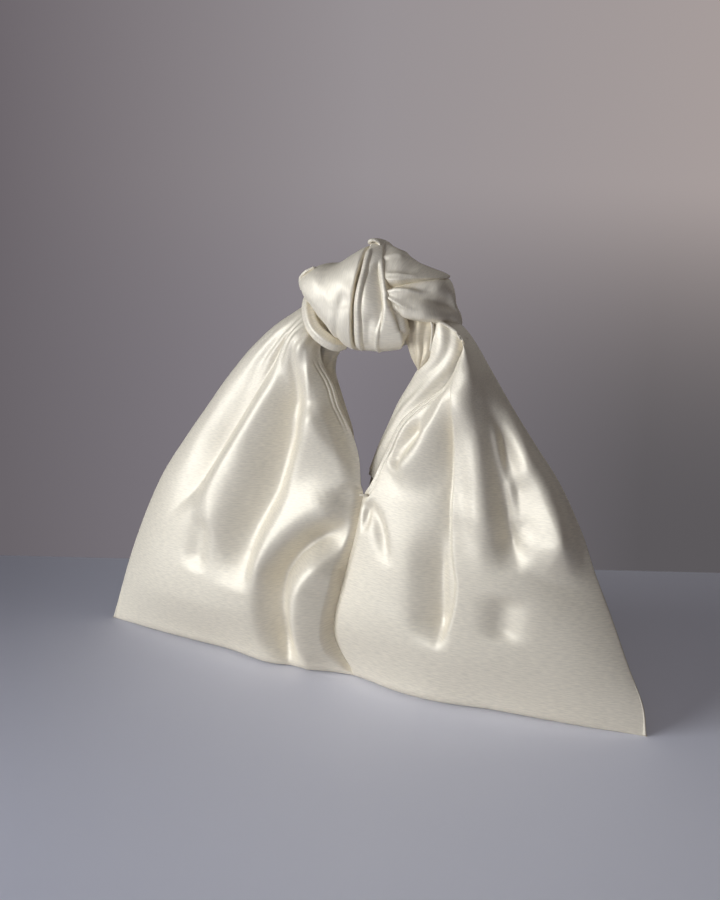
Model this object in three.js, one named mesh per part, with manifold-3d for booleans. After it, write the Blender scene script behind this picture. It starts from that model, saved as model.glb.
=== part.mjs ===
// Japanese knot bag: four lined satin panels, gathered at the top into two ears
// that are tied to each other in a square knot, which is the handle.
// Millimetres, +Z up, the front faces -Y. The origin is on the floor, at the middle of the bottom seam.
import * as THREE from 'three';
import Module from 'manifold-3d';
import { mergeVertices } from 'three/addons/utils/BufferGeometryUtils.js';

const wasm = await Module();
wasm.setup();

// Bag body
const bagWidth = 380; // from corner to corner along the bottom seam
const bodyHalfDepth = 30; // widest bulge of the filled bag in front of its mid plane
const veeHeight = 124; // where the V openings end, above the floor
const veeShift = 4; // how far the V's foot stands to the right of the bottom's middle
const sideBow = 13; // how far the side edges bow outwards
const veeBow = 5; // how far the V edges bow into the hand gap

// Cloth
const satinThickness = 1.2; // outer satin with its interlining
const liningThickness = 0.8;
const clothGap = 0.4; // between two layers, and between two panels at a seam

// Gathered necks, one at the top of each ear
const neckHeight = 223; // centre of the gather, above the floor
const neckSpread = 45; // from the knot's centre line to each neck
const neckHalfWidth = 16;
const neckHalfDepth = 11;
const neckLength = 12;
const neckSlope = THREE.MathUtils.degToRad(42); // of the gather, above level
const gatherDepth = 1.6; // height of the pleats that run down from a neck
const foldDepth = 8; // of the deepest of the body's folds
const fluteDepth = 1.2; // of the folds round a neck

// Knot
const knotShift = 9; // the knot leans this far to the right of the bottom's middle
const knotWidth = 104;
const knotHeight = 68;
const knotDepth = 46;
const knotRise = 28; // from the necks' centres up to the knot's centre
const strandHalfWidth = 14;
const strandHalfDepth = 11.5;
const strandGap = 0.35; // between two strands that press on each other

// Stitches
const tackLength = 7; // of the bar tack that closes the foot of each V
const tackRadius = 0.8;

// Steps of the meshes
const columns = 17;
const courses = 18;
const footCourses = 2;
const strandPoints = 16;
const legSteps = 10;
const wrapSteps = 18;
const lobePoints = 20;
const neckSteps = 5;
const neckPoints = 28;
const neckFlutes = 7;
const pleats = 3;
const tackRings = 4;
const tackPoints = 10;

const halfWidth = bagWidth / 2;
const seamGap = clothGap / 2;
const edgeDepth = satinThickness + seamGap;
const veeShare = 0.5; // the share of the courses that lies below the V's foot

const FRONT = -1;
const BACK = 1;
const LEFT = -1;
const RIGHT = 1;

const satin = { color: 0xece4d6, roughness: 0.38, metalness: 0.0 };
const liningSatin = { color: 0xf1e8d6, roughness: 0.42, metalness: 0.0 };
const thread = { color: 0xe6dcc8, roughness: 0.6, metalness: 0.0 };

const { lerp, smoothstep, clamp } = THREE.MathUtils;

// A value read off a table of [place, share] rows, on a smooth curve through the rows.
function shareAt(table, place) {
  const slope = (low, high) => (table[high][1] - table[low][1]) / (table[high][0] - table[low][0]);
  const last = table.length - 1;
  const spot = clamp(place, table[0][0], table[last][0]);
  const row = Math.max(table.findIndex(([end]) => spot <= end) - 1, 0);
  const width = table[row + 1][0] - table[row][0];
  const x = (spot - table[row][0]) / width;
  const leaving = slope(Math.max(row - 1, 0), row + 1) * width;
  const arriving = slope(row, Math.min(row + 2, last)) * width;
  return (1 + 2 * x) * (1 - x) ** 2 * table[row][1] + x * (1 - x) ** 2 * leaving
    + x * x * (3 - 2 * x) * table[row + 1][1] + x * x * (x - 1) * arriving;
}

// Builds one closed body from rings of points: each ring joins the next, and both ends are capped.
function closedLoft(rings) {
  const count = rings[0].length;
  const points = rings.flat();
  const faces = [];
  for (let ring = 0; ring + 1 < rings.length; ring += 1) {
    for (let k = 0; k < count; k += 1) {
      const a = ring * count + k;
      const b = ring * count + ((k + 1) % count);
      faces.push(a, b, b + count, a, b + count, a + count);
    }
  }
  const lastRing = (rings.length - 1) * count;
  const middle = (ring) => ring.reduce((sum, p) => sum.add(p), new THREE.Vector3()).divideScalar(count);
  points.push(middle(rings[0]), middle(rings[rings.length - 1]));
  for (let k = 0; k < count; k += 1) {
    const next = (k + 1) % count;
    faces.push(points.length - 2, next, k);
    faces.push(points.length - 1, lastRing + k, lastRing + next);
  }
  return facingOut(points, faces);
}

// A geometry from points and faces, turned so that its faces point outwards.
function facingOut(points, faces) {
  let volume = 0;
  const cross = new THREE.Vector3();
  for (let f = 0; f < faces.length; f += 3) {
    cross.crossVectors(points[faces[f + 1]], points[faces[f + 2]]);
    volume += points[faces[f]].dot(cross);
  }
  if (volume < 0) faces.reverse();
  const geometry = new THREE.BufferGeometry();
  geometry.setAttribute('position', new THREE.Float32BufferAttribute(points.flatMap((p) => p.toArray()), 3));
  geometry.setIndex(faces);
  geometry.computeVertexNormals();
  return geometry;
}

function solidOf(geometry) {
  const plain = geometry.clone();
  plain.deleteAttribute('normal');
  plain.deleteAttribute('uv');
  const merged = mergeVertices(plain);
  return new wasm.Manifold(new wasm.Mesh({
    numProp: 3,
    vertProperties: Float32Array.from(merged.attributes.position.array),
    triVerts: Uint32Array.from(merged.index.array),
  }));
}

// The largest body of a solid, as a geometry.
function geometryOf(solid) {
  const bodies = solid.decompose().sort((a, b) => b.volume() - a.volume());
  const mesh = bodies[0].getMesh();
  const geometry = new THREE.BufferGeometry();
  geometry.setAttribute('position', new THREE.BufferAttribute(Float32Array.from(mesh.vertProperties), 3));
  geometry.setIndex(Array.from(mesh.triVerts));
  geometry.computeVertexNormals();
  return geometry;
}

// The gather at the top of one ear: its centre, the direction across it and the way the cloth leaves it.
function neckOf(side) {
  const centre = new THREE.Vector3(knotShift + side * neckSpread, 0, neckHeight);
  const across = new THREE.Vector3(side * Math.cos(neckSlope), 0, Math.sin(neckSlope));
  const along = new THREE.Vector3(-side * Math.sin(neckSlope), 0, Math.cos(neckSlope));
  return { centre, across, along };
}

// A straight run from a to b that bows sideways by a given amount.
function bowed(a, b, sideways, t) {
  const point = new THREE.Vector3().lerpVectors(a, b, t);
  return point.addScaledVector(sideways, 4 * t * (1 - t));
}

// The side edge of one half, from its bottom corner up to the neck.
function sideEdge(side, t) {
  const { centre, across } = neckOf(side);
  const corner = new THREE.Vector3(side * halfWidth, 0, 0);
  const top = centre.clone().addScaledVector(across, neckHalfWidth);
  return bowed(corner, top, new THREE.Vector3(side * sideBow, 0, 0), t);
}

// The inner edge of one half: up the centre seam to the V's foot, then along the V to the neck.
function innerEdge(side, t) {
  const foot = new THREE.Vector3(side * seamGap, 0, 0);
  const vee = new THREE.Vector3(veeShift + side * seamGap, 0, veeHeight);
  if (t <= veeShare) return new THREE.Vector3().lerpVectors(foot, vee, t / veeShare);
  const { centre, across } = neckOf(side);
  const top = centre.clone().addScaledVector(across, -neckHalfWidth);
  return bowed(vee, top, new THREE.Vector3(-side * veeBow, 0, 0), (t - veeShare) / (1 - veeShare));
}

// How full the bag stands at each height, as a share of its greatest bulge.
const fullnessShares = [[0, 0.58], [0.08, 0.72], [0.16, 0.88], [0.3, 1], [0.5, 0.9], [0.7, 0.68], [0.86, 0.5]];
// How much of that is left at the inner edge, where the centre seam and the V draw the cloth in.
const drawnInShares = [[0, 0.55], [0.16, 0.72], [0.3, 0.6], [0.5, 0.52], [0.75, 0.46], [1, 0.5]];
// How far in from the side edge the bulge is reached, and how round the side is.
const reachShares = [[0, 0.5], [0.15, 0.34], [0.3, 0.28], [0.5, 0.3], [0.7, 0.38], [1, 0.5]];
const roundnessShares = [[0, 1], [0.4, 1], [0.7, 0.8], [1, 0.5]];
const dipShare = 0.68; // the share of the width where the cloth starts to dip to the inner edge
const gatherShares = [0.2, 0.7]; // the pleats deepen between these shares of the height
const spreadShare = 1.15; // above one, the columns stand closer together near the side edge
const leastLeanShare = 0.6; // limits how far a crease lengthens its normal

// The main folds of each half's front. Each has a height as a share of the fold depth, a half width as a
// share of the panel's width, and a line of rows [t, u] from its lower end up.
const foldsByHalf = {
  [LEFT]: [
    { height: 0.5, width: 0.11, line: [[0.28, 0.47], [0.37, 0.38], [0.46, 0.3], [0.55, 0.28], [0.82, 0.29]] },
    { height: -1, width: 0.1, line: [[0.18, 0.58], [0.3, 0.55], [0.4, 0.55], [0.5, 0.57], [0.7, 0.6], [0.88, 0.53]] },
    { height: 0.6, width: 0.12, line: [[0.5, 0.69], [0.6, 0.68], [0.7, 0.69], [0.92, 0.64]] },
    { height: 0.6, width: 0.1, line: [[0.18, 0.59], [0.28, 0.63], [0.36, 0.7], [0.43, 0.78], [0.5, 0.87]] },
    { height: -0.9, width: 0.095, line: [[0, 0.77], [0.12, 0.74], [0.21, 0.72], [0.275, 0.73], [0.335, 0.77], [0.4, 0.86]] },
    { height: 0.5, width: 0.08, line: [[0, 0.84], [0.11, 0.83], [0.19, 0.81], [0.27, 0.82], [0.36, 0.88]] },
  ],
  [RIGHT]: [
    { height: -0.5, width: 0.08, line: [[0.16, 0.64], [0.22, 0.64], [0.38, 0.61], [0.56, 0.58]] },
    { height: 0.6, width: 0.1, line: [[0.3, 0.37], [0.38, 0.36], [0.48, 0.36], [0.6, 0.34], [0.71, 0.31], [0.85, 0.27]] },
    { height: -0.9, width: 0.09, line: [[0.34, 0.27], [0.47, 0.26], [0.57, 0.24], [0.7, 0.2], [0.84, 0.15]] },
    { height: 0.5, width: 0.09, line: [[0.3, 0.16], [0.4, 0.14], [0.5, 0.11], [0.64, 0.08]] },
    { height: 0.4, width: 0.1, line: [[0.5, 0.87], [0.6, 0.8], [0.7, 0.7], [0.85, 0.5]] },
  ],
};
const foldFade = 0.09; // the share of the height over which a fold fades at an end
const foldFree = [0.12, 0.1]; // from the side edge and from the inner edge

// How far the main folds stand out at a place. The back has the folds of the other half's front.
function foldHeight(u, t, half) {
  const free = smoothstep(u, 0, foldFree[0]) * smoothstep(1 - u, 0, foldFree[1]);
  const heights = foldsByHalf[half].map(({ height, width, line }) => {
    const [low, high] = [line[0][0], line.at(-1)[0]];
    const rising = low > 0 ? smoothstep(t, low, low + foldFade) : 1;
    const share = rising * (1 - smoothstep(t, high - foldFade, high));
    return height * share * Math.exp(-(((u - shareAt(line, t)) / width) ** 2));
  });
  return foldDepth * free * heights.reduce((sum, one) => sum + one, 0);
}

// Half of the bag's thickness: u runs from the side edge to the inner edge, t from the floor to the neck.
function halfDepth(u, t, half) {
  const rise = 1 - (1 - Math.min(u / shareAt(reachShares, t), 1)) ** 2;
  const dip = 1 - (1 - shareAt(drawnInShares, t)) * smoothstep(u, dipShare, 1);
  const neckShare = smoothstep(t, fullnessShares.at(-1)[0], 1);
  const full = lerp(bodyHalfDepth * shareAt(fullnessShares, t), neckHalfDepth, neckShare);
  const folds = Math.cos(2 * Math.PI * pleats * u) * Math.sin(Math.PI * u);
  const gathered = gatherDepth * smoothstep(t, ...gatherShares);
  const swell = edgeDepth + rise ** shareAt(roundnessShares, t) * dip * full;
  return swell + folds * gathered * rise + foldHeight(u, t, half);
}

// The outer face of one panel as a grid of points. Its first rows lie under the bag, in from the bottom seam.
function panelGrid(side, face) {
  const rows = [];
  for (let course = -footCourses; course <= courses; course += 1) {
    const t = Math.max(course, 0) / courses;
    const foot = 1 + Math.min(course, 0) / footCourses;
    const row = [];
    for (let column = 0; column <= columns; column += 1) {
      const u = (column / columns) ** spreadShare;
      const point = new THREE.Vector3().lerpVectors(sideEdge(side, t), innerEdge(side, t), u);
      point.y = face * lerp(seamGap, halfDepth(u, t, -side * face), foot);
      row.push(point);
    }
    rows.push(row);
  }
  return rows;
}

// The outward normal at each point of a grid, lengthened at a crease so that a layer keeps its thickness.
function gridNormals(rows, face) {
  const at = (r, c) => rows[clamp(r, 0, rows.length - 1)][clamp(c, 0, rows[0].length - 1)];
  const turn = Math.sign(at(0, 1).x - at(0, 0).x) * -face;
  const quarter = (r, c, stepR, stepC) => {
    const across = at(r, c + stepC).clone().sub(at(r, c)).multiplyScalar(stepC);
    const up = at(r + stepR, c).clone().sub(at(r, c)).multiplyScalar(stepR);
    return across.cross(up).normalize().multiplyScalar(turn);
  };
  return rows.map((row, r) => row.map((_, c) => {
    const around = [[1, 1], [1, -1], [-1, 1], [-1, -1]].map(([stepR, stepC]) => quarter(r, c, stepR, stepC));
    const faces = around.filter((normal) => normal.lengthSq() > 0);
    const normal = faces.reduce((sum, one) => sum.add(one), new THREE.Vector3()).normalize();
    const lean = Math.min(...faces.map((one) => one.dot(normal)));
    return normal.divideScalar(Math.max(lean, leastLeanShare));
  }));
}

// A sheet of cloth that follows a grid, from one depth under its face to another.
function clothSolid(rows, normals, under, thickness) {
  const layer = (depth) => rows.flatMap((row, r) => row.map((point, c) => (
    point.clone().addScaledVector(normals[r][c], -depth)
  )));
  const points = [...layer(under), ...layer(under + thickness)];
  const wide = rows[0].length;
  const high = rows.length;
  const inner = wide * high;
  const faces = [];
  for (let r = 0; r + 1 < high; r += 1) {
    for (let c = 0; c + 1 < wide; c += 1) {
      const a = r * wide + c;
      faces.push(a, a + 1, a + wide + 1, a, a + wide + 1, a + wide);
      faces.push(inner + a, inner + a + wide + 1, inner + a + 1, inner + a, inner + a + wide, inner + a + wide + 1);
    }
  }
  const rim = (a, b) => faces.push(a, inner + a, inner + b, a, inner + b, b);
  for (let c = 0; c + 1 < wide; c += 1) {
    rim(c, c + 1);
    rim((high - 1) * wide + c + 1, (high - 1) * wide + c);
  }
  for (let r = 0; r + 1 < high; r += 1) {
    rim((r + 1) * wide, r * wide);
    rim(r * wide + wide - 1, (r + 1) * wide + wide - 1);
  }
  return facingOut(points, faces);
}

// A panel's normals. Those at the side seam are straight, so that the seam closes,
// and those at the gather stay in its plane, so that every layer ends there.
function panelNormals(rows, side, face) {
  const normals = gridNormals(rows, face);
  const { along } = neckOf(side);
  normals.slice(footCourses + 1).forEach((row) => row[0].set(0, face, 0));
  normals.at(-1).forEach((normal) => normal.projectOnPlane(along).normalize());
  return normals;
}

function outerPanel(side, face) {
  const rows = panelGrid(side, face);
  return clothSolid(rows, panelNormals(rows, side, face), 0, satinThickness);
}

// The lining lies inside its panel and stops short of the side seam.
function liningPanel(side, face) {
  const rows = panelGrid(side, face);
  const normals = panelNormals(rows, side, face);
  const trimmed = (grid) => grid.map((row) => row.slice(1));
  return clothSolid(trimmed(rows), trimmed(normals), satinThickness + clothGap, liningThickness);
}

// The gathered neck: a fluted sleeve of cloth from the top of an ear into the knot.
function neckSleeve(side) {
  const { centre, across, along } = neckOf(side);
  const rings = [];
  for (let step = 0; step <= neckSteps; step += 1) {
    const share = step / neckSteps;
    const middle = centre.clone().addScaledVector(along, lerp(clothGap, neckLength, share));
    const wide = lerp(neckHalfWidth, strandHalfWidth, share) - fluteDepth;
    const deep = lerp(neckHalfDepth, strandHalfDepth, share) - fluteDepth;
    const ring = [];
    for (let k = 0; k < neckPoints; k += 1) {
      const angle = (2 * Math.PI * k) / neckPoints;
      const flute = fluteDepth * Math.cos(neckFlutes * angle);
      ring.push(middle.clone()
        .addScaledVector(across, (wide + flute) * Math.cos(angle))
        .add(new THREE.Vector3(0, (deep + flute) * Math.sin(angle), 0)));
    }
    rings.push(ring);
  }
  return closedLoft(rings);
}

// The knot is a square knot. Each ear turns back on itself round both strands of the other.
// The right ear crosses behind, makes the broad lobe at the front left and goes back as the right tail.
// The left ear runs underneath, wraps up over the front and goes back over the top as the left tail.
const knotCentre = new THREE.Vector3(knotShift, 0, neckHeight + knotRise);
const knotPlace = ([x, y, z]) => knotCentre.clone()
  .add(new THREE.Vector3(x * knotWidth, y * knotDepth, z * knotHeight));

// Routes through the knot, in shares of its width, depth and height from its centre.
const rightLowerShares = [[0.28, 0.12, -0.14], [0.14, 0.1, -0.15], [0.0, -0.02, -0.15], [-0.16, -0.2, -0.15]];
const rightUpperShares = [[-0.16, -0.2, 0.1], [0.0, -0.02, 0.15], [0.14, 0.12, 0.17], [0.22, 0.16, 0.17]];
const rightLobeShares = { centre: [-0.245, -0.22, -0.05], half: [0.205, 0.28, 0.37] };
const rightTailShares = [[0.2, 0.14, 0.15], [0.32, 0.12, 0.15], [0.44, 0.08, 0.12], [0.55, 0.0, 0.06]];
const leftLowerShares = [[-0.24, 0.14, -0.3], [-0.1, 0.1, -0.38], [0.04, 0.04, -0.42], [0.13, -0.02, -0.42]];
const leftWrapShares = [
  [0.12, 0.14, -0.44], [0.12, -0.12, -0.43], [0.12, -0.34, -0.3], [0.11, -0.42, -0.05],
  [0.09, -0.4, 0.18], [0.06, -0.28, 0.36], [0.05, -0.06, 0.43], [0.04, 0.14, 0.4],
];
const leftUpperShares = [[0.1, -0.04, 0.38], [0.02, 0.04, 0.37], [-0.08, 0.1, 0.34], [-0.15, 0.14, 0.3]];
const leftTailShares = [[-0.13, 0.14, 0.3], [-0.22, 0.16, 0.24], [-0.32, 0.16, 0.15], [-0.42, 0.12, 0.04]];

// Widths and depths along the strands, in shares of a strand's own.
const evenShares = [[0, 1], [1, 1]];
const thickShares = [[0, 1], [1, 1.15]];
const wrapWidthShares = [[0, 1.05], [0.3, 1.2], [0.6, 0.98], [0.85, 0.62], [1, 0.7]];
const wrapDepthShares = [[0, 0.6], [0.5, 0.7], [1, 0.6]];
const underWidthShares = [[0, 1], [0.4, 0.85], [1, 0.7]];
const overWidthShares = [[0, 0.7], [1, 0.85]];
const rightTailWidthShares = [[0, 1], [0.5, 1.3], [1, 1.2]];
const leftTailWidthShares = [[0, 0.8], [0.6, 1.1], [1, 0.9]];
const tailDepthShares = [[0, 1.1], [0.6, 0.9], [1, 0.4]];

// A flattened strand of gathered cloth along a route. It lies in the knot's plane unless it has a way across.
function strand({ route, widths, depths, steps, wayAcross }, grow) {
  const curve = new THREE.CatmullRomCurve3(route);
  const depthways = new THREE.Vector3(0, 1, 0);
  const rings = [];
  for (let step = 0; step <= steps; step += 1) {
    const share = step / steps;
    const middle = curve.getPointAt(share);
    const ahead = curve.getTangentAt(share);
    const wide = wayAcross ? wayAcross.clone().projectOnPlane(ahead) : ahead.clone().cross(depthways);
    const deep = new THREE.Vector3().crossVectors(wide.normalize(), ahead);
    const halfWide = strandHalfWidth * shareAt(widths, share) + grow;
    const halfDeep = strandHalfDepth * shareAt(depths, share) + grow;
    const ring = [];
    for (let k = 0; k < strandPoints; k += 1) {
      const angle = (2 * Math.PI * k) / strandPoints;
      ring.push(middle.clone()
        .addScaledVector(wide, halfWide * Math.cos(angle))
        .addScaledVector(deep, halfDeep * Math.sin(angle)));
    }
    rings.push(ring);
  }
  return solidOf(closedLoft(rings));
}

// The round front of a bight, as a flattened ball.
function lobe({ centre, half }, grow) {
  const [x, y, z] = half;
  const size = new THREE.Vector3(x * knotWidth, y * knotDepth, z * knotHeight).addScalar(grow);
  const ball = new THREE.SphereGeometry(1, lobePoints, lobePoints / 2).scale(size.x, size.y, size.z);
  const place = knotPlace(centre);
  return solidOf(ball.translate(place.x, place.y, place.z));
}

// The route from a neck into the knot, which starts where the neck's sleeve ends.
function routeFrom(side, shares) {
  const { centre, along } = neckOf(side);
  const start = centre.clone().addScaledVector(along, neckLength + strandGap);
  return [start, ...shares.map(knotPlace)];
}

const sideways = new THREE.Vector3(1, 0, 0);
const legs = { depths: evenShares, steps: legSteps };
const rightLower = { ...legs, route: routeFrom(RIGHT, rightLowerShares), widths: evenShares };
const rightUpper = { ...legs, route: rightUpperShares.map(knotPlace), widths: evenShares, depths: thickShares };
const leftLower = { ...legs, route: routeFrom(LEFT, leftLowerShares), widths: underWidthShares };
const leftUpper = { ...legs, route: leftUpperShares.map(knotPlace), widths: overWidthShares };
const leftWrap = {
  route: leftWrapShares.map(knotPlace),
  widths: wrapWidthShares,
  depths: wrapDepthShares,
  steps: wrapSteps,
  wayAcross: sideways,
};
const tails = { ...legs, depths: tailDepthShares };
const rightTail = { ...tails, route: rightTailShares.map(knotPlace), widths: rightTailWidthShares };
const leftTail = { ...tails, route: leftTailShares.map(knotPlace), widths: leftTailWidthShares };

const rightBight = (grow) => strand(rightLower, grow).add(strand(rightUpper, grow)).add(lobe(rightLobeShares, grow));
const leftBight = (grow) => strand(leftLower, grow).add(strand(leftWrap, grow)).add(strand(leftUpper, grow));

// The strands press on each other, so each one is cut back from those that lie over it.
function knotPieces() {
  const clearOfBights = (solid) => solid.subtract(rightBight(strandGap)).subtract(leftBight(strandGap));
  const neckClearOfKnot = (side) => clearOfBights(solidOf(neckSleeve(side)));
  return {
    right_bight: geometryOf(rightBight(0)),
    left_bight: geometryOf(leftBight(0).subtract(rightBight(strandGap))),
    right_tail: geometryOf(clearOfBights(strand(rightTail, 0))),
    left_tail: geometryOf(clearOfBights(strand(leftTail, 0))),
    right_neck: geometryOf(neckClearOfKnot(RIGHT)),
    left_neck: geometryOf(neckClearOfKnot(LEFT)),
  };
}

// The bar of stitches that closes the foot of a V, laid across the centre seam.
function barTack() {
  return new THREE.CapsuleGeometry(tackRadius, tackLength - 2 * tackRadius, tackRings, tackPoints);
}

const bag = new THREE.Group();

function addPiece(name, geometry, look) {
  const mesh = new THREE.Mesh(geometry, new THREE.MeshStandardMaterial(look));
  mesh.name = name;
  bag.add(mesh);
  return mesh;
}

for (const [sideName, side] of [['left', LEFT], ['right', RIGHT]]) {
  for (const [faceName, face] of [['front', FRONT], ['back', BACK]]) {
    addPiece(`outer_${faceName}_${sideName}`, outerPanel(side, face), satin);
    addPiece(`lining_${faceName}_${sideName}`, liningPanel(side, face), liningSatin);
  }
}

for (const [name, geometry] of Object.entries(knotPieces())) addPiece(name, geometry, satin);

for (const [faceName, face] of [['front', FRONT], ['back', BACK]]) {
  const tack = addPiece(`bar_tack_${faceName}`, barTack(), thread);
  tack.rotation.z = Math.PI / 2;
  const standOff = halfDepth(1, veeShare, LEFT) + 2 * tackRadius + clothGap;
  tack.position.set(veeShift, face * standOff, veeHeight - 2 * tackRadius);
}

export default bag;
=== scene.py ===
"""Ivory satin knot bag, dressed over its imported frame.

Every cloth surface is worked out with numpy on a grid: the bag's four panels run between a side seam and
an inner edge, and their crushed folds are carved along measured lines. The knot is made of closed forms
and a wrapped band that are carved in the same way. All tables are in millimetres, in the frame's axes.
"""

import math

import bpy
import numpy as np
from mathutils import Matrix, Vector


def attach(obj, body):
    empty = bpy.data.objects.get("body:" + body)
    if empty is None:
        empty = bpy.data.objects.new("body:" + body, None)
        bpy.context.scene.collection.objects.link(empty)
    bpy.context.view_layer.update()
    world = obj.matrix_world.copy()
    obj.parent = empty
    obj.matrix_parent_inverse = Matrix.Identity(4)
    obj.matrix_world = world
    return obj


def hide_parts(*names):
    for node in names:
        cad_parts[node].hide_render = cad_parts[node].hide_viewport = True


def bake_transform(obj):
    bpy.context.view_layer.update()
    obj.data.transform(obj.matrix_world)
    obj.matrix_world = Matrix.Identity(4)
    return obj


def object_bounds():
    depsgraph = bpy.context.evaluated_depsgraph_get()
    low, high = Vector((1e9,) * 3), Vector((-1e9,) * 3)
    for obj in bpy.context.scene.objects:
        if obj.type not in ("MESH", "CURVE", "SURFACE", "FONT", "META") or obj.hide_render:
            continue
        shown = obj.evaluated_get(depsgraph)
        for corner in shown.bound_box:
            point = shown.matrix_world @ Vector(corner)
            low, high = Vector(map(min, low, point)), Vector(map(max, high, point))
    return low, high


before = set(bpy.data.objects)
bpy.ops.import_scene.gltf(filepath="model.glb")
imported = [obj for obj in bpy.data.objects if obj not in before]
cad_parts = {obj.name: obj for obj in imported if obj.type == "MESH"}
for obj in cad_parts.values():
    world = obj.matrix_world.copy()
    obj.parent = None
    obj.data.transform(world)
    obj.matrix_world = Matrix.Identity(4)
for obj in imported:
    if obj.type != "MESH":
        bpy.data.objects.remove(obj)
FRAME_BOX = [list(corner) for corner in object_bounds()]

bl_info = {
    "name": "Satin knot bag",
    "version": (1, 0, 0),
    "blender": (4, 5, 0),
    "location": "3D View > Sidebar > Knot bag",
    "description": "Builds the panels, lining, knot and stitching of a satin knot bag",
    "category": "Add Mesh",
}

MM = 0.001
DRAWN_WIDTH = 380.0
DRAWN_DEPTH = 78.0
DRAWN_HEIGHT = 282.0


def linear(code):
    """An sRGB hex colour such as "#E8E0D2" as linear red, green, blue and alpha."""
    shares = [int(code[i : i + 2], 16) / 255 for i in (1, 3, 5)]
    return [s / 12.92 if s <= 0.04045 else ((s + 0.055) / 1.055) ** 2.4 for s in shares] + [1.0]


def frame_size(axis):
    """The frame's size along an axis, in metres."""
    return FRAME_BOX[1][axis] - FRAME_BOX[0][axis]


class BagSizes(bpy.types.PropertyGroup):
    """Sizes of the bag that a maker would change."""

    width: bpy.props.FloatProperty(
        name="Width",
        description="Length of the bottom seam",
        default=frame_size(0),
        unit="LENGTH",
    )
    depth: bpy.props.FloatProperty(
        name="Depth",
        description="Fullness of the body from front to back",
        default=DRAWN_DEPTH * MM,
        unit="LENGTH",
    )
    height: bpy.props.FloatProperty(
        name="Height",
        description="Height from the floor to the top of the knot",
        default=DRAWN_HEIGHT * MM,
        unit="LENGTH",
    )
    satin_thickness: bpy.props.FloatProperty(
        name="Satin thickness",
        description="Thickness of the outer satin with its interlining",
        default=0.0010,
        unit="LENGTH",
    )
    lining_thickness: bpy.props.FloatProperty(
        name="Lining thickness",
        description="Thickness of the lining",
        default=0.0006,
        unit="LENGTH",
    )
    fold_strength: bpy.props.FloatProperty(
        name="Fold strength",
        # Factor on the depth of the body's folds
        description="Factor on the depth of the body's folds, chosen by eye",
        default=1.2,
        subtype="FACTOR",
    )


class BagColours(bpy.types.PropertyGroup):
    """Colours of the cloth, the thread and the stage."""

    satin: bpy.props.FloatVectorProperty(
        name="Satin", description="Outer satin", default=linear("#F3EBD9"), size=4, subtype="COLOR"
    )
    lining: bpy.props.FloatVectorProperty(
        name="Lining", description="Satin lining", default=linear("#EBDFC6"), size=4, subtype="COLOR"
    )
    thread: bpy.props.FloatVectorProperty(
        name="Thread", description="Sewing thread", default=linear("#DDD2BE"), size=4, subtype="COLOR"
    )


def sizes():
    """The bag's sizes, as set in the sidebar."""
    return bpy.context.scene.knot_bag_sizes


def colours():
    """The bag's colours, as set in the sidebar."""
    return bpy.context.scene.knot_bag_colours


def in_metres(points):
    """Drawn millimetres as metres, stretched by the sizes in the sidebar."""
    s = sizes()
    stretch = np.array([s.width / DRAWN_WIDTH, s.depth / DRAWN_DEPTH, s.height / DRAWN_HEIGHT])
    return np.asarray(points, float) * stretch


# Curves and carving


def smooth_rows(places, rows, at):
    """Rows of numbers joined by a smooth curve: cubic pieces between neighbouring rows, whose slope at each
    row is the slope through the row's two neighbours."""
    places = np.asarray(places, float)
    rows = np.asarray(rows, float)
    flat = rows.reshape(len(rows), -1)
    slopes = np.gradient(flat, places, axis=0)
    at = np.clip(np.asarray(at, float), places[0], places[-1])
    i = np.clip(np.searchsorted(places, at, side="right") - 1, 0, len(places) - 2)
    step = (places[i + 1] - places[i])[:, None]
    s = ((at - places[i]) / step[:, 0])[:, None]
    a, b = flat[i], flat[i + 1]
    ta, tb = slopes[i] * step, slopes[i + 1] * step
    value = (
        (2 * s**3 - 3 * s**2 + 1) * a
        + (s**3 - 2 * s**2 + s) * ta
        + (3 * s**2 - 2 * s**3) * b
        + (s**3 - s**2) * tb
    )
    return value.reshape((len(at),) + rows.shape[1:])


def table_rows(table, at):
    """A table whose first column is the place and whose other columns are numbers, read at many places."""
    table = np.asarray(table, float)
    return smooth_rows(table[:, 0], table[:, 1:], at)


def ease(low, high, x):
    """0 below low, 1 above high, and a smooth step between them."""
    s = np.clip((x - low) / (high - low), 0, 1)
    return s * s * (3 - 2 * s)


CREST_ROUNDING = 0.22
FOOT_ROUNDING = 0.14


def fold(kind, height, left, right, ends, points):
    """One measured fold line: its kind, its height in mm, its widths to the left and right of the line,
    the shares of its length over which it fades at its top and bottom end, and its points (x, z)."""
    return {
        "kind": kind,
        "height": height,
        "left": left,
        "right": right,
        "ends": ends,
        "points": np.asarray(points, float),
    }


def to_line(x, z, points):
    """Signed distance from each place to a smooth line through points, positive to the right of it, and
    the share of the line's length where the nearest point lies."""
    gaps = np.linalg.norm(np.diff(points, axis=0), axis=1)
    places = np.concatenate([[0], np.cumsum(gaps)])
    line = smooth_rows(places / places[-1], points, np.linspace(0, 1, 5 * len(points)))
    start, run = line[:-1], np.diff(line, axis=0)
    away = np.stack([x, z], -1)[:, None, :] - start[None]
    share = np.clip((away * run).sum(-1) / (run**2).sum(-1), 0, 1)
    off = away - share[..., None] * run
    distance = np.sqrt((off**2).sum(-1))
    nearest = distance.argmin(1)
    rows = np.arange(len(x))
    cross = run[nearest, 0] * away[rows, nearest, 1] - run[nearest, 1] * away[rows, nearest, 0]
    along = (nearest + share[rows, nearest]) / len(run)
    return distance[rows, nearest] * np.where(cross < 0, -1, 1), along


SHARP_ROUNDING = 0.03


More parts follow.
